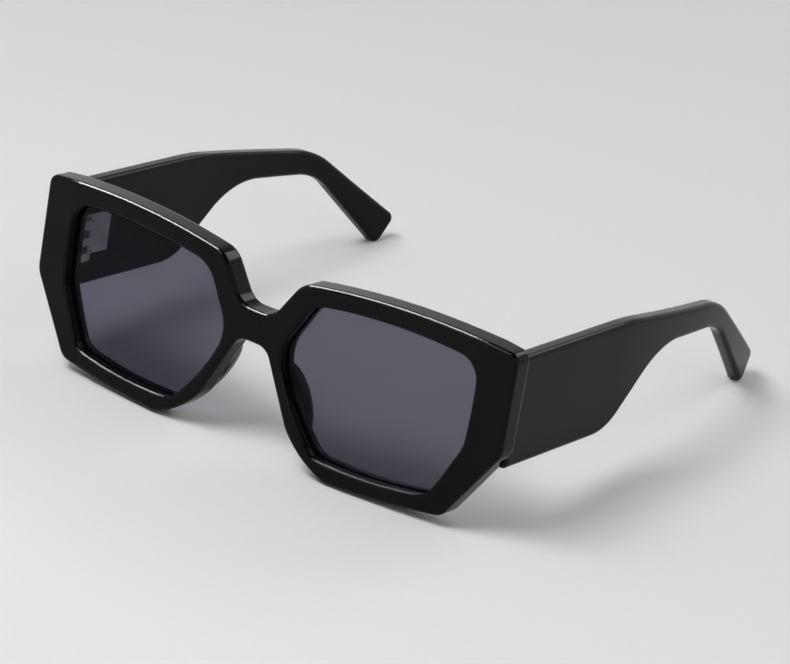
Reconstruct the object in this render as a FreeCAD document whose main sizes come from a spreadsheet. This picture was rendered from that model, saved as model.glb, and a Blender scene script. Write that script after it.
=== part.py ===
# Oversized sunglasses: a thick glossy front with angular lens openings, two tinted lenses,
# two deep folding temples with core strips, and a five-knuckle hinge at each end piece.
#
# The design frame has X across the front (plus is the wearer's left), Y backwards and Z up,
# with the front's middle on Y = 0 and the lens openings' centre line on Z = 0. The left half
# is drawn, the right half is its mirror image, and at the end the whole part is tipped back
# on its rims and temple tips, the way it stands open on a table.
import FreeCAD, Part
import math
import os

V = FreeCAD.Vector
doc = FreeCAD.newDocument("sunglasses")

SIZES = {
    # Front, across and through
    "front_width": 147.0,
    "bridge_gap": 16.4,
    "end_wide": 10.3,
    "face_radius": 537.0,
    "rim_thick": 6.0,
    "end_piece_back": 10.4,
    "end_piece_wide": 7.0,
    "end_piece_slope": 6.5,
    "edge_round": 1.0,
    "opening_chamfer": 0.45,
    # Front, rim widths measured from the lens opening's corners
    "brow_inner_wide": 4.4,
    "brow_outer_wide": 4.6,
    "rim_outer_side": 4.7,
    "rim_inner_side": 4.6,
    "rim_outer_base": 4.1,
    "rim_inner_base": 5.3,
    # Front, heights above and below the lens centre line
    "outer_corner_low": 2.6,
    "notch_high": 11.6,
    "arch_high": 2.6,
    "nose_bend_low": 15.2,
    # Front, reaches from the middle
    "notch_half": 5.0,
    "brow_inner_half": 12.2,
    "arch_half": 4.6,
    "nose_bend_half": 13.5,
    # Front, rounds of its corners and bows of its edges
    "arch_round": 4.5,
    "nose_bend_round": 8.0,
    "rim_inner_round": 5.5,
    "rim_outer_round": 3.8,
    "outer_corner_round": 5.5,
    "brow_outer_round": 2.6,
    "brow_inner_round": 7.0,
    "notch_round": 6.0,
    "nose_bow": 1.3,
    "rim_base_bow": 0.5,
    "brow_bow": 2.5,
    "notch_bow": 0.3,
    # Lens opening, measured from its own inner and outer sides and the centre line
    "opening_top_inner": 8.3,
    "opening_low_inner": 14.4,
    "opening_low_outer": 7.4,
    "opening_inner_high": 18.2,
    "opening_outer_high": 18.8,
    "opening_outer_low": 3.2,
    "opening_inner_bend": 3.5,
    "opening_base_outer": 18.4,
    "opening_base_inner": 20.0,
    # Rounds of the opening's corners and bows of its edges
    "opening_base_inner_round": 6.0,
    "opening_base_outer_round": 5.5,
    "opening_outer_low_round": 8.0,
    "opening_outer_high_round": 6.3,
    "opening_inner_high_round": 8.5,
    "opening_inner_bend_round": 11.0,
    "opening_base_bow": 1.1,
    "opening_slant_bow": 0.2,
    "opening_outer_bow": 0.5,
    "opening_top_bow": 2.0,
    "opening_nose_bow": 1.6,
    # Lens and its groove
    "lens_thick": 1.9,
    "lens_inset": 2.2,
    "groove_depth": 0.8,
    "lens_clearance": 0.05,
    # Nose pads
    "pad_reach": 5.5,
    "pad_half_long": 9.5,
    "pad_half_wide": 1.75,
    "pad_centre_half": 12.3,
    "pad_centre_low": 9.0,
    "pad_turn": 27.5,
    # Temples
    "temple_thick": 4.2,
    "temple_inset": 1.5,
    "temple_reach": 135.0,
    "temple_top": 21.5,
    "temple_deep": 29.1,
    "slope_length": 85.0,
    "slim_length": 68.0,
    "taper_length": 21.5,
    "slim_depth": 10.2,
    "slim_fall": 2.2,
    "ear_length": 35.0,
    "ear_start_drop": 5.5,
    "ear_angle": 33.4,
    "under_ear_lag": 1.0,
    "tip_width": 10.0,
    "inward_start": 45.0,
    "inward_radius": 420.0,
    "inward_turn": 25.0,
    "temple_round": 1.2,
    "butt_round": 0.8,
    "deep_round": 16.0,
    "slim_round": 25.0,
    "under_ear_round": 22.0,
    "heel_round": 2.2,
    "tip_round": 2.2,
    "ear_round": 30.0,
    "top_round": 90.0,
    "butt_gap": 0.1,
    # Core strip inside each temple
    "core_wide": 1.8,
    "core_thick": 1.0,
    "core_start": 19.0,
    "core_drop": 5.3,
    "core_tip_drop": 3.9,
    "core_end_margin": 9.0,
    "core_end_round": 0.2,
    "core_bend_lead": 3.0,
    "core_bend_round": 20.0,
    # Hinge
    "hinge_centre": 6.5,
    "pivot_back": 3.0,
    "pivot_in": 1.9,
    "knuckle_round": 1.8,
    "knuckle_high": 2.2,
    "knuckle_gap": 0.1,
    "leaf_thick": 1.0,
    "temple_leaf_length": 14.0,
    "tang_deep": 4.0,
    "tang_thick": 1.6,
    "screw_round": 0.7,
    "screw_clearance": 0.03,
    "screw_head_round": 1.25,
    "screw_head_high": 0.6,
    "rivet_round": 0.75,
    "rivet_long": 2.4,
    "rivet_front_share": 0.45,
    "rivet_rear_share": 0.8,
}

sheet = doc.addObject("Spreadsheet::Sheet", "sizes")
for row, (alias, number) in enumerate(SIZES.items(), start=1):
    sheet.set("A%d" % row, alias)
    sheet.set("B%d" % row, str(number))
    sheet.setAlias("B%d" % row, alias)
doc.recompute()


class Values:
    """Driving dimensions read back from the sheet by name."""

    def __getattr__(self, alias):
        return float(sheet.get(alias))


size = Values()
KNUCKLES = 5
LEVELLING_STEPS = 4
HINGE_HIGH = "%d * sizes.knuckle_high" % KNUCKLES
TANG_HIGH = "%d * sizes.knuckle_high" % (KNUCKLES - 2)


# Outlines from corner points
def edge_curve(start, end, bow):
    """The straight or arched edge between two corners; a positive bow bulges to the right."""
    chord = end - start
    along = chord / chord.Length
    right = V(along.y, -along.x, 0)
    if abs(bow) < 1e-9:
        return {"start": start, "along": along}
    radius = (chord.Length ** 2 / 4 + bow ** 2) / (2 * abs(bow))
    side = math.copysign(1.0, bow)
    centre = start + chord / 2 + right * (bow - side * radius)
    return {"centre": centre, "radius": radius, "side": side}


def tangent(curve, point):
    """Direction of travel of an edge at one of its points."""
    if "along" in curve:
        return curve["along"]
    spoke = (point - curve["centre"]) / curve["radius"]
    return V(-spoke.y, spoke.x, 0) * curve["side"]


def meet(first, second, offset, corner):
    """The point that lies at the same offset to the left of both edges, nearest to their corner."""
    if "along" in first and "along" in second:
        p, q = (c["start"] + V(-c["along"].y, c["along"].x, 0) * offset for c in (first, second))
        turn = first["along"].x * second["along"].y - first["along"].y * second["along"].x
        gap = q - p
        step = (gap.x * second["along"].y - gap.y * second["along"].x) / turn
        return p + first["along"] * step
    if "along" in second:
        first, second = second, first
    reach = second["radius"] - second["side"] * offset
    if "along" in first:
        origin = first["start"] + V(-first["along"].y, first["along"].x, 0) * offset
        foot = origin + first["along"] * (second["centre"] - origin).dot(first["along"])
        half = math.sqrt(reach ** 2 - (foot - second["centre"]).Length ** 2)
        choices = [foot + first["along"] * half, foot - first["along"] * half]
    else:
        other = first["radius"] - first["side"] * offset
        gap = second["centre"] - first["centre"]
        near = (other ** 2 - reach ** 2 + gap.Length ** 2) / (2 * gap.Length)
        half = math.sqrt(other ** 2 - near ** 2)
        along = gap / gap.Length
        foot = first["centre"] + along * near
        across = V(-along.y, along.x, 0) * half
        choices = [foot + across, foot - across]
    return min(choices, key=lambda point: (point - corner).Length)


def touch(curve, centre):
    """Where a corner's round meets an edge."""
    if "along" in curve:
        return curve["start"] + curve["along"] * (centre - curve["start"]).dot(curve["along"])
    spoke = centre - curve["centre"]
    return curve["centre"] + spoke * (curve["radius"] / spoke.Length)


def arc(start, end, centre, turn, grow):
    """An arc about a centre, grown to the right of its travel."""
    radius = (start - centre).Length
    scale = (radius + turn * grow) / radius
    half = start + end - centre * 2
    middle = centre + half * (radius / half.Length)
    return Part.Arc(*(centre + (point - centre) * scale for point in (start, middle, end)))


def outline(corners, grow=0.0):
    """Closed outline through corners (u, v, round, bow of the next edge), run anticlockwise."""
    points = [V(u, v, 0) for u, v, rounding, bow in corners]
    count = len(corners)
    edges = [edge_curve(points[i], points[(i + 1) % count], corners[i][3]) for i in range(count)]
    rounds = []
    for i in range(count):
        before, after = edges[i - 1], edges[i]
        heading, leaving = tangent(before, points[i]), tangent(after, points[i])
        turn = math.copysign(1.0, heading.x * leaving.y - heading.y * leaving.x)
        centre = meet(before, after, turn * corners[i][2], points[i])
        rounds.append((touch(before, centre), touch(after, centre), centre, turn))
    shapes = []
    for i in range(count):
        begin, end, centre, turn = rounds[i]
        shapes.append(arc(begin, end, centre, turn, grow))
        following = rounds[(i + 1) % count][0]
        if "along" in edges[i]:
            shift = V(edges[i]["along"].y, -edges[i]["along"].x, 0) * grow
            shapes.append(Part.LineSegment(end + shift, following + shift))
        else:
            shapes.append(arc(end, following, edges[i]["centre"], edges[i]["side"], grow))
    return shapes


def mirrored(corners):
    """The corners on the other side of the middle, still anticlockwise."""
    other = []
    for i in range(len(corners) - 1, -1, -1):
        u, v, rounding, bow = corners[i]
        other.append((-u, v, rounding, corners[i - 1][3]))
    return other


# Bodies and features
def add_sketch(body, role, shapes, back=0.0):
    """A sketch on one of the body's own planes; back moves it along plus Y."""
    sketch = body.newObject("Sketcher::SketchObject", body.Name + "_sketch")
    plane = next(item for item in body.Origin.OriginFeatures if item.Role == role)
    sketch.AttachmentSupport = [(plane, "")]
    sketch.MapMode = "FlatFace"
    sketch.AttachmentOffset = FreeCAD.Placement(V(0, 0, -back), FreeCAD.Rotation())
    sketch.addGeometry(shapes, False)
    return sketch


def add_prism(body, kind, role, shapes, length):
    """A pad or pocket, the same distance to both sides of its sketch."""
    feature = body.newObject("PartDesign::" + kind, body.Name + "_" + kind.lower())
    feature.Profile = add_sketch(body, role, shapes)
    feature.SideType = "Symmetric"
    feature.setExpression("Length", length)
    doc.recompute()
    return feature


def add_edge_feature(body, kind, amount, alias, chosen):
    """A fillet or chamfer on the edges of the body's last feature that a test picks out."""
    base = body.Tip
    names = ["Edge%d" % (i + 1) for i, edge in enumerate(base.Shape.Edges) if chosen(edge)]
    feature = body.newObject("PartDesign::" + kind, body.Name + "_" + kind.lower())
    feature.Base = (base, names)
    feature.setExpression(amount, "sizes." + alias)
    doc.recompute()
    return feature


def new_body(name):
    return doc.addObject("PartDesign::Body", name)


def sag(x, inset=0.0):
    """How far back the curved front lies at a distance from the middle, at an inset behind its face."""
    return size.face_radius - math.sqrt((size.face_radius - inset) ** 2 - x ** 2)


def face_region(inset, side):
    """Plan outline of everything in front of (side -1) or behind (side 1) a curved face."""
    far = size.front_width
    ends = [V(x, sag(x, inset), 0) for x in (-far, far)]
    corners = [V(x, side * far, 0) for x in (-far, far)]
    curve = Part.Arc(ends[0], V(0, inset, 0), ends[1])
    return [
        curve,
        Part.LineSegment(ends[1], corners[1]),
        Part.LineSegment(corners[1], corners[0]),
        Part.LineSegment(corners[0], ends[0]),
    ]


THROUGH = "4 * sizes.temple_deep"


def curved_plate(name, corners, grow, inset, thick):
    """A plate bent with the front: an outline padded, then cut in front and behind."""
    body = new_body(name)
    add_prism(body, "Pad", "XZ_Plane", outline(corners, grow), THROUGH)
    add_prism(body, "Pocket", "XY_Plane", face_region(inset, -1), THROUGH)
    add_prism(body, "Pocket", "XY_Plane", face_region(inset + thick, 1), THROUGH)
    return body


def add_box(name, corner, lengths):
    """A box whose three lengths are expressions."""
    box = doc.addObject("Part::Box", name)
    for side, length in zip(("Length", "Width", "Height"), lengths):
        box.setExpression(side, length)
    box.Placement.Base = V(*corner)
    return box


def add_cylinder(name, base, radius, height, direction=V(0, 0, 1)):
    """A cylinder whose radius and height are expressions."""
    cylinder = doc.addObject("Part::Cylinder", name)
    cylinder.setExpression("Radius", radius)
    cylinder.setExpression("Height", height)
    cylinder.Placement = FreeCAD.Placement(V(*base), FreeCAD.Rotation(V(0, 0, 1), direction))
    return cylinder


def fuse(name, pieces):
    joined = doc.addObject("Part::MultiFuse", name)
    joined.Shapes = pieces
    joined.Refine = True
    return joined


def cut(name, base, tool):
    result = doc.addObject("Part::Cut", name)
    result.Base = base
    result.Tool = tool
    doc.recompute()
    return result


def mirror(name, source):
    other = doc.addObject("Part::Mirroring", name)
    other.Source = source
    other.Normal = V(1, 0, 0)
    other.Label = name
    return other


def on_plane(edge, axis, place):
    """Whether an edge lies at one coordinate all along."""
    box = edge.BoundBox
    low, high = {"x": (box.XMin, box.XMax), "y": (box.YMin, box.YMax)}[axis]
    return abs(low - place) < 1e-4 and abs(high - place) < 1e-4


# Named places that several pieces share
half_width = size.front_width / 2
inner_side = size.bridge_gap / 2
outer_side = half_width - size.end_wide
butt_plane = size.end_piece_back
temple_outer = half_width - size.temple_inset
temple_inner = temple_outer - size.temple_thick
pivot_x = temple_inner - size.pivot_in
pivot_y = butt_plane + size.pivot_back
ear_start = size.temple_reach - size.ear_length
hinge_high = KNUCKLES * size.knuckle_high
hinge_low = size.hinge_centre - hinge_high / 2

# Lens opening of the left side, from its bottom inner corner
low_inner = inner_side + size.opening_low_inner
low_outer = outer_side - size.opening_low_outer
opening = [
    (low_inner, -size.opening_base_inner, size.opening_base_inner_round, size.opening_base_bow),
    (low_outer, -size.opening_base_outer, size.opening_base_outer_round, size.opening_slant_bow),
    (outer_side, -size.opening_outer_low, size.opening_outer_low_round, size.opening_outer_bow),
    (outer_side, size.opening_outer_high, size.opening_outer_high_round, size.opening_top_bow),
    (inner_side + size.opening_top_inner, size.opening_inner_high, size.opening_inner_high_round, 0.0),
    (inner_side, size.opening_inner_bend, size.opening_inner_bend_round, size.opening_nose_bow),
]

# Outer edge of the front's left half, from the arch over the nose to the notch over the bridge
rim_inner_low = -size.opening_base_inner - size.rim_inner_base
rim_outer_low = -size.opening_base_outer - size.rim_outer_base
brow_outer_high = size.opening_outer_high + size.brow_outer_wide
brow_inner_high = size.opening_inner_high + size.brow_inner_wide
half_front = [
    (size.arch_half, size.arch_high, size.arch_round, 0.0),
    (size.nose_bend_half, -size.nose_bend_low, size.nose_bend_round, size.nose_bow),
    (low_inner + size.rim_inner_side, rim_inner_low, size.rim_inner_round, size.rim_base_bow),
    (low_outer + size.rim_outer_side, rim_outer_low, size.rim_outer_round, 0.0),
    (half_width, -size.outer_corner_low, size.outer_corner_round, 0.0),
    (half_width, brow_outer_high, size.brow_outer_round, size.brow_bow),
    (size.brow_inner_half, brow_inner_high, size.brow_inner_round, 0.0),
    (size.notch_half, size.notch_high, size.notch_round, -size.notch_bow),
]


# Front: padded outline, bent faces, thick end pieces, openings and rounded edges
def make_front():
    body = new_body("front_blank")
    corners = half_front + mirrored(half_front)
    add_prism(body, "Pad", "XZ_Plane", outline(corners), THROUGH)
    add_prism(body, "Pocket", "XY_Plane", face_region(0.0, -1), THROUGH)
    end_start = half_width - size.end_piece_wide
    slope_start = end_start - size.end_piece_slope
    far = size.front_width
    rim_end = V(slope_start, sag(slope_start, size.rim_thick), 0)
    back = [
        Part.Arc(V(-rim_end.x, rim_end.y, 0), V(0, size.rim_thick, 0), rim_end),
        Part.LineSegment(rim_end, V(end_start, butt_plane, 0)),
        Part.LineSegment(V(end_start, butt_plane, 0), V(far, butt_plane, 0)),
        Part.LineSegment(V(far, butt_plane, 0), V(far, far, 0)),
        Part.LineSegment(V(far, far, 0), V(-far, far, 0)),
        Part.LineSegment(V(-far, far, 0), V(-far, butt_plane, 0)),
        Part.LineSegment(V(-far, butt_plane, 0), V(-end_start, butt_plane, 0)),
        Part.LineSegment(V(-end_start, butt_plane, 0), V(-rim_end.x, rim_end.y, 0)),
    ]
    add_prism(body, "Pocket", "XY_Plane", back, THROUGH)

    def on_face(edge):
        return all(
            abs(edge.valueAt(t).y - sag(edge.valueAt(t).x)) < 1e-3
            for t in (edge.FirstParameter, (edge.FirstParameter + edge.LastParameter) / 2, edge.LastParameter)
        )

    add_edge_feature(body, "Fillet", "Radius", "edge_round", on_face)
    for corners in (opening, mirrored(opening)):
        add_prism(body, "Pocket", "XZ_Plane", outline(corners), THROUGH)
    add_edge_feature(
        body,
        "Chamfer",
        "Size",
        "opening_chamfer",
        lambda edge: on_face(edge) and abs(edge.CenterOfMass.x) < outer_side + 0.1 and in_opening(edge),
    )
    return body


def in_opening(edge):
    """Whether an edge runs round a lens opening."""
    middle = edge.valueAt((edge.FirstParameter + edge.LastParameter) / 2)
    walls = [Part.Edge(shape) for shape in outline(opening)]
    point = Part.Vertex(V(abs(middle.x), middle.z, 0))
    return min(wall.distToShape(point)[0] for wall in walls) < 1e-3


# Lens, and the groove in the rim that holds its edge
def make_lens():
    grow = size.groove_depth - size.lens_clearance
    return curved_plate("lens_left", opening, grow, size.lens_inset, size.lens_thick)


def make_groove():
    inset = size.lens_inset - size.lens_clearance
    thick = size.lens_thick + 2 * size.lens_clearance
    return curved_plate("lens_groove", opening, size.groove_depth, inset, thick)


# Nose pad: half an ellipsoid bonded to the back of the rim beside the nose
def make_nose_pad():
    dome = doc.addObject("Part::Ellipsoid", "nose_pad_dome")
    dome.setExpression("Radius1", "sizes.pad_half_long")
    dome.setExpression("Radius2", "sizes.pad_half_wide")
    dome.setExpression("Radius3", "sizes.pad_reach")
    place = V(size.pad_centre_half, size.rim_thick, -size.pad_centre_low)
    dome.Placement = FreeCAD.Placement(place, FreeCAD.Rotation(V(0, 1, 0), -size.pad_turn))
    corners = half_front + mirrored(half_front)
    rim = curved_plate("nose_pad_seat", corners, size.pad_half_wide, 0.0, size.rim_thick)
    return cut("nose_pad_left", dome, rim)


# Temple: the side profile and the plan band that is bent in behind the ear
def ear_point(distance):
    """A point on the temple's upper edge behind the start of the ear bend."""
    drop = (distance - ear_start) * math.tan(math.radians(size.ear_angle))
    return distance, size.temple_top - size.ear_start_drop - drop


def temple_profile():
    start = butt_plane + size.butt_gap
    top, low = size.temple_top, size.temple_top - size.temple_deep
    tip, tip_z = ear_point(size.temple_reach)
    slant = math.radians(size.ear_angle)
    heel = tip - size.tip_width * math.sin(slant)
    heel_z = tip_z - size.tip_width * math.cos(slant)
    taper_end = size.temple_reach - size.slim_length
    slim = top - size.slim_depth
    under = ear_start + size.under_ear_lag
    slope_start = size.temple_reach - size.slope_length
    return [
        (start, low, size.butt_round, 0.0),
        (start + taper_end - size.taper_length, low, size.deep_round, 0.0),
        (start + taper_end, slim, size.slim_round, 0.0),
        (start + under, slim - size.slim_fall, size.under_ear_round, 0.0),
        (start + heel, heel_z, size.heel_round, 0.0),
        (start + tip, tip_z, size.tip_round, 0.0),
        (start + ear_start, top - size.ear_start_drop, size.ear_round, 0.0),
        (start + slope_start, top, size.top_round, 0.0),
        (start, top, size.butt_round, 0.0),
    ]


def plan_band(inner, outer):
    """Plan outline between two walls, straight at the hinge and bent inwards behind."""
    bend = butt_plane + size.inward_start
    centre = V(outer - size.inward_radius, bend, 0)
    turn = math.radians(size.inward_turn)

    def wall(x):
        radius = x - centre.x
        return [centre + V(math.cos(a), math.sin(a), 0) * radius for a in (0, turn / 2, turn)]

    near, far = wall(inner), wall(outer)
    front_inner, front_outer = V(inner, 0, 0), V(outer, 0, 0)
    return [
        Part.LineSegment(front_inner, near[0]),
        Part.Arc(*near),
        Part.LineSegment(near[2], far[2]),
        Part.Arc(far[2], far[1], far[0]),
        Part.LineSegment(far[0], front_outer),
        Part.LineSegment(front_outer, front_inner),
    ]


def bent_bar(name, profile, inner, outer):
    """A bar with a side profile whose two walls follow the temple's plan."""
    side = new_body(name + "_side")
    pad = side.newObject("PartDesign::Pad", name + "_side_pad")
    pad.Profile = add_sketch(side, "YZ_Plane", profile)
    pad.setExpression("Length", "sizes.front_width")
    plan = new_body(name + "_plan")
    add_prism(plan, "Pad", "XY_Plane", plan_band(inner, outer), THROUGH)
    bar = doc.addObject("Part::MultiCommon", name)
    bar.Shapes = [side, plan]
    doc.recompute()
    return bar


def make_temple_blank():
    bar = bent_bar("temple_bar", outline(temple_profile()), temple_inner, temple_outer)
    start = butt_plane + size.butt_gap
    rounded = doc.addObject("Part::Fillet", "temple_blank")
    rounded.Base = bar
    long_edges = [
        i + 1
        for i, edge in enumerate(bar.Shape.Edges)
        if not on_plane(edge, "y", start) and abs(edge.tangentAt(edge.FirstParameter).x) < 0.9
    ]
    rounded.Edges = [(i, size.temple_round, size.temple_round) for i in long_edges]
    doc.recompute()
    return rounded


# Core strip: a flat steel strip along the temple's middle line
def make_core():
    start = butt_plane + size.butt_gap
    half = size.core_wide / 2
    tip, tip_z = ear_point(size.temple_reach)
    slant = math.radians(size.ear_angle)
    middle = size.core_tip_drop
    end = tip - middle * math.sin(slant) - size.core_end_margin * math.cos(slant)
    end_z = tip_z - middle * math.cos(slant) + size.core_end_margin * math.sin(slant)
    bend = ear_start - size.core_bend_lead
    bend_z = end_z + (end - bend) * math.tan(slant)
    across, down = half * math.sin(slant), half * math.cos(slant)
    level = size.temple_top - size.core_drop
    profile = [
        (start + size.core_start, level - half, size.core_end_round, 0.0),
        (start + bend - across, bend_z - half, size.core_bend_round, 0.0),
        (start + end - across, end_z - down, size.core_end_round, 0.0),
        (start + end + across, end_z + down, size.core_end_round, 0.0),
        (start + bend + across, bend_z + half, size.core_bend_round, 0.0),
        (start + size.core_start, level + half, size.core_end_round, 0.0),
    ]
    middle_x = (temple_inner + temple_outer) / 2
    half_thick = size.core_thick / 2
    return bent_bar("temple_core_left", outline(profile), middle_x - half_thick, middle_x + half_thick)


# Hinge: knuckles stacked along the pivot, odd ones on the front's leaf and even ones on the temple's
def knuckle(name, index):
    low = hinge_low + index * size.knuckle_high + size.knuckle_gap / 2
    height = "sizes.knuckle_high - sizes.knuckle_gap"
    return add_cylinder(name, (pivot_x, pivot_y, low), "sizes.knuckle_round", height), low, height


def bored(name, solid):
    """A leaf with the screw's hole through its knuckles."""
    hole = add_cylinder(
        name + "_bore",
        (pivot_x, pivot_y, hinge_low - size.knuckle_high),
        "sizes.screw_round + sizes.screw_clearance",
        "%d * sizes.knuckle_high" % (KNUCKLES + 2),
    )
    return cut(name, solid, hole)


def make_front_leaf():
    side = pivot_x - size.knuckle_round
    wide = "2 * sizes.knuckle_round"
    plate_front = butt_plane - size.leaf_thick
    plate = add_box(
        "front_leaf_plate",
        (side, plate_front, hinge_low),
        (wide, "sizes.leaf_thick", HINGE_HIGH),
    )
    tang_side = pivot_x - size.tang_thick / 2
    tang = add_box(
        "front_leaf_tang",
        (tang_side, plate_front - size.tang_deep, hinge_low + size.knuckle_high),
        ("sizes.tang_thick", "sizes.tang_deep + sizes.leaf_thick / 2", TANG_HIGH),
    )
    seat = add_box(
        "front_leaf_seat",
        (side, plate_front, hinge_low),
        (wide, "sizes.leaf_thick + sizes.pivot_back", HINGE_HIGH),
    )
    pieces = [plate, tang]
    for index in range(0, KNUCKLES, 2):
        barrel, low, height = knuckle("front_knuckle_%d" % index, index)
        web = add_box(
            "front_web_%d" % index,
            (side, butt_plane - size.leaf_thick / 2, low),
            (wide, "sizes.pivot_back + sizes.leaf_thick / 2", height),
        )
        pieces += [barrel, web]
    return bored("front_hinge_left", fuse("front_leaf", pieces)), fuse("front_leaf_pocket", [seat, tang])


def make_temple_leaf(start, rivets):
    plate = add_box(
        "temple_leaf_plate",
        (temple_inner, start, hinge_low),
        ("sizes.leaf_thick", "sizes.temple_leaf_length", HINGE_HIGH),
    )
    pieces = [plate]
    for index in range(1, KNUCKLES, 2):
        barrel, low, height = knuckle("temple_knuckle_%d" % index, index)
        web = add_box(
            "temple_web_%d" % index,
            (pivot_x, pivot_y - size.leaf_thick / 2, low),
            ("sizes.pivot_in + sizes.leaf_thick / 2", "sizes.knuckle_round + sizes.leaf_thick / 2", height),
        )
        pieces += [barrel, web]
    leaf = bored("temple_leaf", fuse("temple_leaf_solid", pieces))
    return cut("temple_hinge_left", leaf, fuse("leaf_rivet_holes", rivets))


def make_rivet(name, start, share):
    """A flush rivet that holds the temple's leaf."""
    place = (temple_inner, start + size.temple_leaf_length * share, size.hinge_centre)
    return add_cylinder(name, place, "sizes.rivet_round", "sizes.rivet_long", V(1, 0, 0))


# Hinge screw: a plain shank with a slotted head on the top knuckle
def make_screw():
    top = hinge_low + hinge_high
    shank = add_cylinder("screw_shank", (pivot_x, pivot_y, hinge_low), "sizes.screw_round", HINGE_HIGH)
    head = add_cylinder(
        "screw_head", (pivot_x, pivot_y, top), "sizes.screw_head_round", "sizes.screw_head_high"
    )
    slot = add_box(
        "screw_slot",
        (pivot_x - size.screw_head_round, pivot_y - size.screw_round / 4, top + size.screw_head_high / 2),
        ("2 * sizes.screw_head_round", "sizes.screw_round / 2", "sizes.screw_head_high"),
    )
    return cut("hinge_screw_left", fuse("screw_blank", [shank, head]), slot)


lens_left = make_lens()
groove_left = make_groove()
front_leaf, leaf_pocket = make_front_leaf()
leaf_start = butt_plane + size.butt_gap + size.leaf_thick
rivet_front = make_rivet("hinge_rivet_front_left", leaf_start, size.rivet_front_share)
rivet_rear = make_rivet("hinge_rivet_rear_left", leaf_start, size.rivet_rear_share)
temple_leaf = make_temple_leaf(leaf_start, [rivet_front, rivet_rear])
screw = make_screw()
core = make_core()
pad = make_nose_pad()

pockets = fuse("front_pockets", [groove_left, leaf_pocket])
other_pockets = mirror("front_pockets_right", pockets)
both_pockets = doc.addObject("Part::Compound", "front_pockets_both")
both_pockets.Links = [pockets, other_pockets]
front = cut("front_frame", make_front(), both_pockets)

inlays = doc.addObject("Part::Compound", "temple_inlays")
inlays.Links = [temple_leaf, rivet_front, rivet_rear, core]
temple = cut("temple_left", make_temple_blank(), inlays)

left_pieces = {
    "lens_left": lens_left,
    "nose_pad_left": pad,
    "temple_left": temple,
    "temple_core_left": core,
    "front_hinge_left": front_leaf,
    "temple_hinge_left": temple_leaf,
    "hinge_rivet_front_left": rivet_front,
    "hinge_rivet_rear_left": rivet_rear,
    "hinge_screw_left": screw,
}
pieces = {"front_frame": front}
for name, piece in left_pieces.items():
    pieces[name] = piece
    right_name = name.replace("_left", "_right")
    pieces[right_name] = mirror(right_name, piece)
for name, piece in pieces.items():
    piece.Label = name
doc.recompute()

# Standing attitude: tipped back until the rims and the temple tips share one level
def tipped(shape, lean):
    """The close bounding box of a shape that is tipped back by a lean in degrees."""
    copy = shape.copy()
    tip = FreeCAD.Placement(V(0, 0, 0), FreeCAD.Rotation(V(1, 0, 0), -lean))
    copy.Placement = tip.multiply(copy.Placement)
    return copy.optimalBoundingBox(False)


lean = 0.0
for step in range(LEVELLING_STEPS):
    rise = tipped(temple.Shape, lean).ZMin - tipped(front.Shape, lean).ZMin
    lean += math.degrees(math.atan2(rise, size.temple_reach))
box = tipped(Part.Compound([piece.Shape for piece in pieces.values()]), lean)
tilt = FreeCAD.Rotation(V(1, 0, 0), -lean)
stand = FreeCAD.Placement(V(0, -(box.YMin + box.YMax) / 2, -box.ZMin), tilt)

# Every feature has to have built, and every piece has to be a sound solid
for item in doc.Objects:
    if "Invalid" in item.State or "Error" in item.State:
        raise RuntimeError("%s did not build: %s" % (item.Name, item.State))
for name, piece in pieces.items():
    if piece.Shape.isNull() or not piece.Shape.isValid() or len(piece.Shape.Solids) != 1:
        raise RuntimeError("%s is not a sound solid" % name)

os.makedirs("parts", exist_ok=True)
for name, piece in pieces.items():
    stood = piece.Shape.copy()
    stood.Placement = stand.multiply(stood.Placement)
    stood.exportStep("parts/%s.step" % name)
    print("%-24s %9.2f mm3" % (name, stood.Volume))
pivot = stand.multVec(V(pivot_x, pivot_y, size.hinge_centre))
axis = tilt.multVec(V(0, 0, 1))
print("lean %.3f degrees" % lean)
print("left hinge at %.4f %.4f %.4f along %.6f %.6f %.6f" % (*pivot, *axis))
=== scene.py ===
"""Oversized sunglasses: polished acetate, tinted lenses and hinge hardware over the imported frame."""
from typing import NamedTuple

import bmesh
import bpy
from mathutils import Matrix, Vector

bl_info = {
    "name": "Oversized Sunglasses",
    "version": (1, 0, 0),
    "blender": (4, 5, 0),
    "location": "View3D > Sidebar > Sunglasses",
    "description": "Dresses a folding pair of thick acetate sunglasses",
    "category": "Object",
}

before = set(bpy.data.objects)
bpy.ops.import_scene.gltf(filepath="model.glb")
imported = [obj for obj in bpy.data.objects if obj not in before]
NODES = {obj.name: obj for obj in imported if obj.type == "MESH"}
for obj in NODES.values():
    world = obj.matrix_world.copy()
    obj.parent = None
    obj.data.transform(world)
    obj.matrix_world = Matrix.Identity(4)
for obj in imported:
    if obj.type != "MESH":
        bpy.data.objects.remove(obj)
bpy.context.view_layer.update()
SIDES = ("left", "right")
MILLIMETRE = 0.001

HINGE_PIECES = ("front_hinge", "temple_hinge", "hinge_rivet_front", "hinge_rivet_rear", "hinge_screw")

# Backdrop: its tone at the horizon and overhead, how steeply a ray climbs where the change starts
# and ends, and the light that it sheds
HORIZON_TONE = 0.93
CEILING_TONE = 0.12
CEILING_CLIMB = (0.25, 0.75)
ROOM_LIGHT = 0.42

# Floor: half its side, and the distances from its middle over which it fades into the horizon
FLOOR_HALF = 6.0
FLOOR_FADE = (0.25, 2.0)


class Lamp(NamedTuple):
    """A soft box: where it stands, the point it faces, its two sides and its power."""

    place: tuple
    aim: tuple
    size: tuple
    power: float
    lights_matt: bool = True


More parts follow.
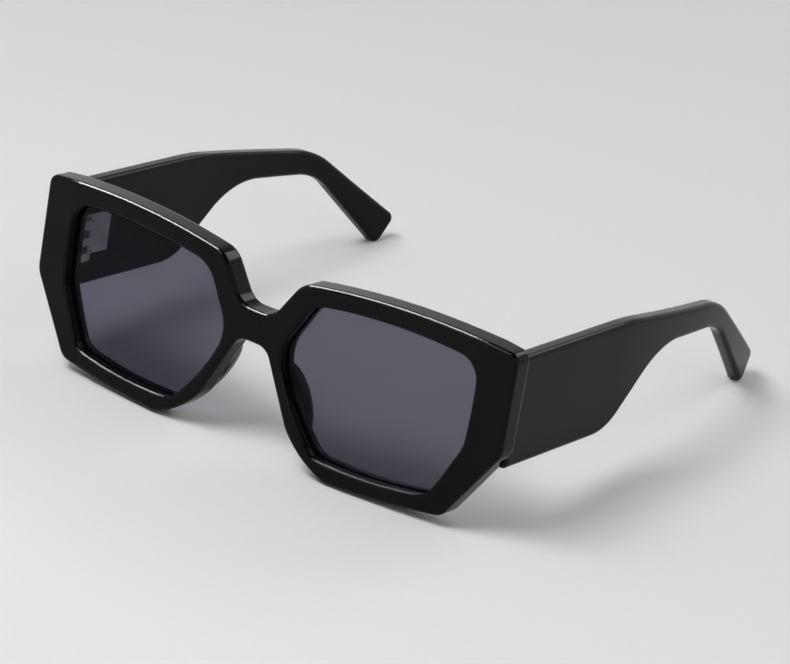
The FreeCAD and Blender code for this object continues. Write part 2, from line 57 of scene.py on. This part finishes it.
# The strip only draws the long highlight on the brow, so matt surfaces don't see it
LAMPS = {
    "key": Lamp((-0.2, -0.4, 0.75), (0.0, -0.065, 0.03), (0.5, 0.3), 4.4),
    "strip": Lamp((-0.42, -0.03, 0.72), (0.0, -0.065, 0.045), (0.2, 0.6), 44.0, lights_matt=False),
    "rim": Lamp((0.25, 0.7, 0.55), (0.0, 0.0, 0.03), (0.5, 0.2), 1.2),
    "side": Lamp((0.75, -0.1, 0.4), (0.05, -0.03, 0.03), (0.2, 0.45), 0.5),
}


class Value:
    """A shader number whose Python operators add Math nodes."""

    def __init__(self, nodes, socket):
        self.nodes = nodes
        self.socket = socket

    def math(self, operation, first, second):
        node = self.nodes.add("ShaderNodeMath", {"operation": operation}, {0: first, 1: second})
        return Value(self.nodes, node.outputs[0])

    def __add__(self, other):
        return self.math("ADD", self, other)

    def __radd__(self, other):
        return self.math("ADD", other, self)

    def __mul__(self, other):
        return self.math("MULTIPLY", self, other)

    def __rmul__(self, other):
        return self.math("MULTIPLY", other, self)

    def __or__(self, other):
        return self.math("MAXIMUM", self, other)


class Nodes:
    """The emptied node tree of a material or a world."""

    def __init__(self, owner):
        owner.use_nodes = True
        self.tree = owner.node_tree
        self.tree.nodes.clear()

    def add(self, kind, settings=None, inputs=None):
        """A node with its settings made first, then the values or links of its sockets."""
        node = self.tree.nodes.new(kind)
        for name, setting in (settings or {}).items():
            setattr(node, name, setting)
        for key, value in (inputs or {}).items():
            self.feed(node.inputs[key], value)
        return node

    def feed(self, socket, value):
        if isinstance(value, Value):
            value = value.socket
        if isinstance(value, bpy.types.NodeSocket):
            self.tree.links.new(value, socket)
        else:
            socket.default_value = value

    def ramp(self, value, low, high, ends=(0.0, 1.0), course="LINEAR"):
        """A number moved from its low and high marks to two ends, and held there."""
        node = self.add(
            "ShaderNodeMapRange",
            {"interpolation_type": course},
            {"Value": value, "From Min": low, "From Max": high, "To Min": ends[0], "To Max": ends[1]},
        )
        return Value(self, node.outputs["Result"])

    def shows_backdrop(self):
        """1 on rays from the camera, through glass or off a mirror, and 0 on light for matt surfaces."""
        path = self.add("ShaderNodeLightPath").outputs
        return (
            Value(self, path["Is Camera Ray"])
            | Value(self, path["Is Transmission Ray"])
            | Value(self, path["Is Glossy Ray"])
        )

    def blend(self, share, first, second):
        """One shader mixed into another."""
        node = self.add("ShaderNodeMixShader", {}, {0: share, 1: first.outputs[0], 2: second.outputs[0]})
        return node.outputs[0]


class Finish(Nodes):
    """A procedural material built round one Principled shader."""

    def __init__(self, name):
        self.material = bpy.data.materials.new(name)
        super().__init__(self.material)
        self.shader = self.add("ShaderNodeBsdfPrincipled")
        self.output = self.add("ShaderNodeOutputMaterial", {}, {"Surface": self.shader.outputs[0]})
        self.coordinates = self.add("ShaderNodeTexCoord").outputs["Object"]

    def set(self, inputs):
        for key, value in inputs.items():
            self.feed(self.shader.inputs[key], value)

    def noise(self, scale, detail, stretch=(1.0, 1.0, 1.0)):
        """Cloudy noise with a number of cells to the metre, drawn out along an axis."""
        place = self.add("ShaderNodeMapping", {}, {"Vector": self.coordinates, "Scale": stretch})
        node = self.add(
            "ShaderNodeTexNoise",
            {},
            {"Vector": place.outputs[0], "Scale": scale, "Detail": detail},
        )
        return Value(self, node.outputs["Fac"])

    def patches(self, scale, detail, low, high, stretch=(1.0, 1.0, 1.0)):
        """Noise sharpened into patches that run from 0 to 1."""
        return self.ramp(self.noise(scale, detail, stretch), low, high)

    def mix(self, share, colour, gain):
        """A colour that moves towards a stronger or weaker self."""
        other = tuple(gain * channel for channel in colour)
        node = self.add(
            "ShaderNodeMix",
            {"data_type": "RGBA"},
            {"Factor": share, 6: (*colour, 1.0), 7: (*other, 1.0)},
        )
        return node.outputs[2]

    def bump(self, height, distance, rounding):
        """Surface height in metres, over edges that shade as if rounded."""
        edges = self.add("ShaderNodeBevel", {"samples": 6}, {"Radius": rounding})
        node = self.add(
            "ShaderNodeBump",
            {},
            {"Height": height, "Distance": distance, "Strength": 1.0, "Normal": edges.outputs[0]},
        )
        return node.outputs[0]


def acetate_finish(name, look):
    """Black acetate from the tumbling drum: deep gloss with faint waves and hairlines."""
    finish = Finish(name)
    cloud = finish.patches(scale=55.0, detail=3.0, low=0.35, high=0.7)
    waves = finish.noise(scale=130.0, detail=1.0)
    hairlines = finish.patches(scale=900.0, detail=3.0, low=0.45, high=0.75, stretch=(1.0, 6.0, 1.0))
    hairline_dulling = 0.04
    coat_least = 0.01
    coat_swing = 0.02
    wave_height = 0.02 * MILLIMETRE
    finish.set(
        {
            "Base Color": finish.mix(cloud, look.acetate, gain=2.2),
            "Roughness": look.gloss + hairline_dulling * hairlines,
            "IOR": 1.2,
            "Coat Weight": coat_least + coat_swing * cloud,
            "Coat Roughness": 0.03,
            "Normal": finish.bump(waves, wave_height, look.edge_softness),
        }
    )
    return finish.material


def lens_finish(look):
    """Dark sheet dyed through its thickness, with polished faces and the faintest smear."""
    finish = Finish("lens_tint")
    dye = finish.add(
        "ShaderNodeVolumeAbsorption",
        {},
        {"Color": (*look.tint, 1.0), "Density": look.dye},
    )
    finish.feed(finish.output.inputs["Volume"], dye.outputs[0])
    smear = finish.patches(scale=35.0, detail=4.0, low=0.4, high=0.75, stretch=(1.0, 1.0, 2.5))
    polish = 0.02
    smear_dulling = 0.03
    smear_coat = 0.03
    smear_cover = 0.01
    finish.set(
        {
            "Base Color": finish.mix(smear, look.film, gain=1.3),
            "Roughness": polish + smear_dulling * smear,
            "IOR": 1.2,
            "Coat Weight": smear_coat * smear,
            "Coat Roughness": polish,
            "Alpha": look.tint_depth + smear_cover * smear,
        }
    )
    return finish.material


def metal_finish(name, colour, roughness):
    """Satin nickel silver with a fine grain from the barrel polish."""
    finish = Finish(name)
    grain = finish.noise(scale=2500.0, detail=2.0, stretch=(1.0, 1.0, 8.0))
    scratches = finish.ramp(grain, low=0.3, high=0.7)
    tarnish = finish.patches(scale=260.0, detail=3.0, low=0.35, high=0.75)
    scratch_dulling = 0.14
    tarnish_dulling = 0.06
    grain_height = 0.01 * MILLIMETRE
    edge_softness = 0.12 * MILLIMETRE
    finish.set(
        {
            "Base Color": finish.mix(tarnish, colour, gain=0.72),
            "Metallic": 1.0,
            "Roughness": roughness + scratch_dulling * scratches + tarnish_dulling * tarnish,
            "Normal": finish.bump(grain, grain_height, edge_softness),
        }
    )
    return finish.material


def coat(node, material):
    """Gives a node of the frame its finish."""
    slots = NODES[node].data.materials
    slots.clear()
    slots.append(material)


class SunglassesLook(bpy.types.PropertyGroup):
    acetate: bpy.props.FloatVectorProperty(
        name="Acetate",
        description="Colour of the front, pads and temples",
        subtype="COLOR",
        size=3,
        default=(0.0011, 0.0011, 0.0013),
    )
    gloss: bpy.props.FloatProperty(
        name="Acetate roughness",
        description="Roughness of the polished acetate",
        subtype="FACTOR",
        default=0.05,
    )
    edge_softness: bpy.props.FloatProperty(
        name="Edge softness",
        description="Radius that the tumbling leaves on cut edges",
        subtype="DISTANCE",
        unit="LENGTH",
        default=0.8 * MILLIMETRE,
    )
    tint: bpy.props.FloatVectorProperty(
        name="Lens tint",
        description="Colour that the dye in the lenses leaves in the light",
        subtype="COLOR",
        size=3,
        default=(0.26, 0.23, 0.7),
    )
    dye: bpy.props.FloatProperty(
        name="Lens dye",
        description="Strength of the dye to the metre",
        default=200.0,
    )
    film: bpy.props.FloatVectorProperty(
        name="Lens faces",
        description="Colour of the dark film on the lens faces",
        subtype="COLOR",
        size=3,
        default=(0.003, 0.003, 0.0045),
    )
    tint_depth: bpy.props.FloatProperty(
        name="Tint depth",
        description="Share of the light that each lens face holds back",
        subtype="FACTOR",
        default=0.545,
    )
    metal: bpy.props.FloatVectorProperty(
        name="Hinge metal",
        description="Colour of the hinge leaves, rivets, screws and temple cores",
        subtype="COLOR",
        size=3,
        default=(0.66, 0.64, 0.6),
    )
    hinge_roughness: bpy.props.FloatProperty(
        name="Hinge roughness",
        description="Least roughness of the polished hinge metal",
        subtype="FACTOR",
        default=0.2,
    )
    core_roughness: bpy.props.FloatProperty(
        name="Core roughness",
        description="Least roughness of the drawn wire in the temples",
        subtype="FACTOR",
        default=0.35,
    )


class SunglassesStage(bpy.types.PropertyGroup):
    floor: bpy.props.FloatVectorProperty(
        name="Floor",
        description="Colour of the studio floor",
        subtype="COLOR",
        size=3,
        default=(0.75, 0.75, 0.75),
    )
    eye: bpy.props.FloatVectorProperty(
        name="Camera place",
        description="Where the camera stands",
        subtype="XYZ_LENGTH",
        size=3,
        default=(0.5139, -0.7803, 0.4116),
    )
    target: bpy.props.FloatVectorProperty(
        name="Camera target",
        description="What the camera looks at",
        subtype="XYZ_LENGTH",
        size=3,
        default=(-0.0006, -0.0065, 0.0131),
    )
    upright: bpy.props.FloatVectorProperty(
        name="Camera up",
        description="Direction that is up in the picture",
        subtype="DIRECTION",
        size=3,
        default=(-0.3169, 0.2591, 0.9124),
    )
    lens: bpy.props.FloatProperty(
        name="Lens",
        description="Focal length of the camera in millimetres",
        default=176.0,
    )


class SUNGLASSES_OT_front(bpy.types.Operator):
    """Polishes the bent acetate front and the nose pads bonded to it"""

    bl_idname = "sunglasses.front"
    bl_label = "Front and nose pads"

    def execute(self, context):
        polish = acetate_finish("front_acetate", context.scene.sunglasses_look)
        for node in ("front_frame", "nose_pad_left", "nose_pad_right"):
            coat(node, polish)
        return {"FINISHED"}


class SUNGLASSES_OT_lenses(bpy.types.Operator):
    """Tints the two lenses in their grooves"""

    bl_idname = "sunglasses.lenses"
    bl_label = "Lenses"

    def execute(self, context):
        tint = lens_finish(context.scene.sunglasses_look)
        for side in SIDES:
            coat("lens_" + side, tint)
        return {"FINISHED"}


class SUNGLASSES_OT_temples(bpy.types.Operator):
    """Polishes the folding temples and finishes their wire cores"""

    bl_idname = "sunglasses.temples"
    bl_label = "Temples"

    def execute(self, context):
        look = context.scene.sunglasses_look
        polish = acetate_finish("temple_acetate", look)
        wire = metal_finish("core_steel", look.metal, look.core_roughness)
        for side in SIDES:
            coat("temple_" + side, polish)
            coat("temple_core_" + side, wire)
        return {"FINISHED"}


class SUNGLASSES_OT_hinges(bpy.types.Operator):
    """Finishes the hinge leaves, rivets and screws"""

    bl_idname = "sunglasses.hinges"
    bl_label = "Hinges"

    def execute(self, context):
        look = context.scene.sunglasses_look
        satin = metal_finish("hinge_metal", look.metal, look.hinge_roughness)
        for side in SIDES:
            for piece in HINGE_PIECES:
                coat(piece + "_" + side, satin)
        return {"FINISHED"}


def matt_floor(colour):
    """A speckled floor that runs out into the horizon's tone where it is seen far off."""
    paint = Finish("studio_floor")
    speck = paint.patches(scale=600.0, detail=3.0, low=0.3, high=0.7)
    paint.set(
        {
            "Base Color": paint.mix(speck, colour, gain=0.985),
            "Roughness": 0.6,
            "Specular IOR Level": 0.0,
        }
    )
    far = paint.add("ShaderNodeVectorMath", {"operation": "LENGTH"}, {0: paint.coordinates})
    fade = paint.ramp(far.outputs["Value"], *FLOOR_FADE, course="SMOOTHSTEP")
    horizon = paint.add(
        "ShaderNodeEmission",
        {},
        {"Color": (HORIZON_TONE, HORIZON_TONE, HORIZON_TONE, 1.0)},
    )
    surface = paint.blend(paint.shows_backdrop() * fade, paint.shader, horizon)
    paint.feed(paint.output.inputs["Surface"], surface)
    mesh = bpy.data.meshes.new("studio_floor")
    shape = bmesh.new()
    bmesh.ops.create_grid(shape, x_segments=1, y_segments=1, size=FLOOR_HALF)
    shape.to_mesh(mesh)
    shape.free()
    mesh.materials.append(paint.material)
    return bpy.data.objects.new("studio_floor", mesh)


def studio_world():
    """Even light on matt surfaces, and for the eye and gloss a pale backdrop with a dark ceiling."""
    world = bpy.data.worlds.new("studio")
    nodes = Nodes(world)
    light = nodes.add(
        "ShaderNodeBackground",
        {},
        {"Color": (1.0, 1.0, 1.0, 1.0), "Strength": ROOM_LIGHT},
    )
    ray = nodes.add("ShaderNodeTexCoord").outputs["Generated"]
    height = nodes.add("ShaderNodeSeparateXYZ", {}, {0: ray}).outputs["Z"]
    tone = nodes.ramp(height, *CEILING_CLIMB, (HORIZON_TONE, CEILING_TONE), "SMOOTHSTEP")
    backdrop = nodes.add("ShaderNodeBackground", {}, {"Color": tone})
    surface = nodes.blend(nodes.shows_backdrop(), light, backdrop)
    nodes.add("ShaderNodeOutputWorld", {}, {"Surface": surface})
    return world


def area_lamp(name, lamp):
    """A soft box turned to the point it faces."""
    light = bpy.data.lights.new(name, "AREA")
    light.shape = "RECTANGLE"
    light.size, light.size_y = lamp.size
    light.energy = lamp.power
    box = bpy.data.objects.new(name, light)
    box.location = lamp.place
    box.rotation_euler = (Vector(lamp.aim) - Vector(lamp.place)).to_track_quat("-Z", "Y").to_euler()
    box.visible_diffuse = lamp.lights_matt
    return box


def tilted_camera(stage):
    """A camera that looks at its target with a chosen direction upright."""
    camera = bpy.data.cameras.new("camera")
    camera.lens = stage.lens
    eye = bpy.data.objects.new("camera", camera)
    back = (Vector(stage.eye) - Vector(stage.target)).normalized()
    right = Vector(stage.upright).cross(back).normalized()
    turn = Matrix((right, back.cross(right), back)).transposed()
    eye.matrix_world = Matrix.Translation(stage.eye) @ turn.to_4x4()
    return eye


class SUNGLASSES_OT_stage(bpy.types.Operator):
    """Sets the floor, the studio light and the camera"""

    bl_idname = "sunglasses.stage"
    bl_label = "Stage"

    def execute(self, context):
        scene = context.scene
        stage = scene.sunglasses_stage
        scene.view_settings.view_transform = "Standard"
        floor = matt_floor(stage.floor)
        scene.collection.objects.link(floor)
        scene.world = studio_world()
        for name, lamp in LAMPS.items():
            scene.collection.objects.link(area_lamp(name, lamp))
        scene.camera = tilted_camera(stage)
        scene.collection.objects.link(scene.camera)
        return {"FINISHED"}


class SUNGLASSES_PT_panel(bpy.types.Panel):
    bl_idname = "SUNGLASSES_PT_panel"
    bl_label = "Sunglasses"
    bl_space_type = "VIEW_3D"
    bl_region_type = "UI"
    bl_category = "Sunglasses"

    def draw(self, context):
        for group in (context.scene.sunglasses_look, context.scene.sunglasses_stage):
            for name in group.__annotations__:
                self.layout.prop(group, name)
        for operator in OPERATORS:
            self.layout.operator(operator.bl_idname)


GROUPS = {"sunglasses_look": SunglassesLook, "sunglasses_stage": SunglassesStage}
OPERATORS = (
    SUNGLASSES_OT_front,
    SUNGLASSES_OT_lenses,
    SUNGLASSES_OT_temples,
    SUNGLASSES_OT_hinges,
    SUNGLASSES_OT_stage,
)


def register():
    for name, group in GROUPS.items():
        bpy.utils.register_class(group)
        setattr(bpy.types.Scene, name, bpy.props.PointerProperty(type=group))
    for operator in OPERATORS:
        bpy.utils.register_class(operator)
    bpy.utils.register_class(SUNGLASSES_PT_panel)


def unregister():
    bpy.utils.unregister_class(SUNGLASSES_PT_panel)
    for operator in reversed(OPERATORS):
        bpy.utils.unregister_class(operator)
    for name, group in GROUPS.items():
        delattr(bpy.types.Scene, name)
        bpy.utils.unregister_class(group)


def main():
    register()
    bpy.ops.sunglasses.front()
    bpy.ops.sunglasses.lenses()
    bpy.ops.sunglasses.temples()
    bpy.ops.sunglasses.hinges()
    bpy.ops.sunglasses.stage()


if __name__ == "__main__":
    main()
